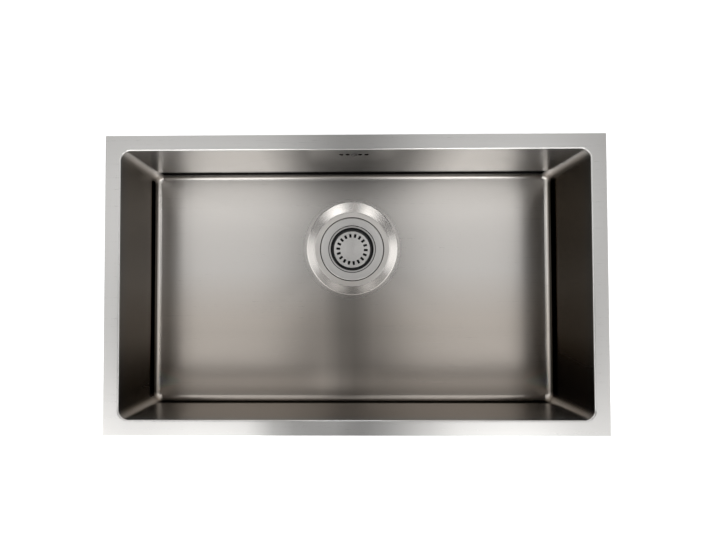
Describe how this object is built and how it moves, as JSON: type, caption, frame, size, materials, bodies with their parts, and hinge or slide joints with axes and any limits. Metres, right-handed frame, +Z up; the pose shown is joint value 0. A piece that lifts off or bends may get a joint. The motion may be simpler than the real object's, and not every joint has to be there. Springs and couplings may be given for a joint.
{
  "type": "undermount kitchen sink",
  "caption": "Rectangular stainless undermount bowl with a flat flange, pressed drain recess, basket strainer waste and piped rear overflow.",
  "frame": {"origin": "centre of the bowl's opening on the top plane of the flange", "axes": "+X to the right along the bowl's length, +Y to the rear wall with the overflow holes, +Z up"},
  "size_m": [0.746, 0.4529, 0.2912],
  "materials": {
    "bowl_steel": "brushed stainless steel, grain along the bowl",
    "waste_steel": "turned and polished stainless steel",
    "screw_steel": "plain stainless steel",
    "brass": "plain",
    "seal_rubber": "matt black",
    "pad_rubber": "matt dark grey",
    "waste_plastic": "moulded, off-white",
    "hose_plastic": "moulded, light grey",
    "nut_plastic": "moulded, black"
  },
  "bodies": {
    "sink": {"sink_bowl": "bowl_steel", "floor_pad_left": "pad_rubber", "floor_pad_right": "pad_rubber", "wall_pad_left": "pad_rubber", "wall_pad_right": "pad_rubber", "wall_pad_front": "pad_rubber", "wall_pad_rear_left": "pad_rubber", "wall_pad_rear_right": "pad_rubber", "strainer_dish": "waste_steel", "dish_seal": "seal_rubber", "waste_seal": "seal_rubber", "waste_body": "waste_plastic", "clamp_screw": "screw_steel", "clamp_insert": "brass", "overflow_housing": "waste_plastic", "overflow_seal": "seal_rubber", "overflow_screw": "screw_steel", "overflow_insert": "brass", "overflow_hose": "hose_plastic", "hose_washer_upper": "seal_rubber", "hose_washer_lower": "seal_rubber", "hose_nut_upper": "nut_plastic", "hose_nut_lower": "nut_plastic"},
    "basket": {"basket_cap": "waste_steel", "basket_ring": "seal_rubber", "basket_stem": "screw_steel", "stem_ring": "seal_rubber", "basket_stopper": "seal_rubber"}
  },
  "joints": [
    {"name": "basket_lift", "type": "slide", "parent": "sink", "child": "basket", "axis": [0, 0, 1], "range_m": [0, 0.24]}
  ]
}
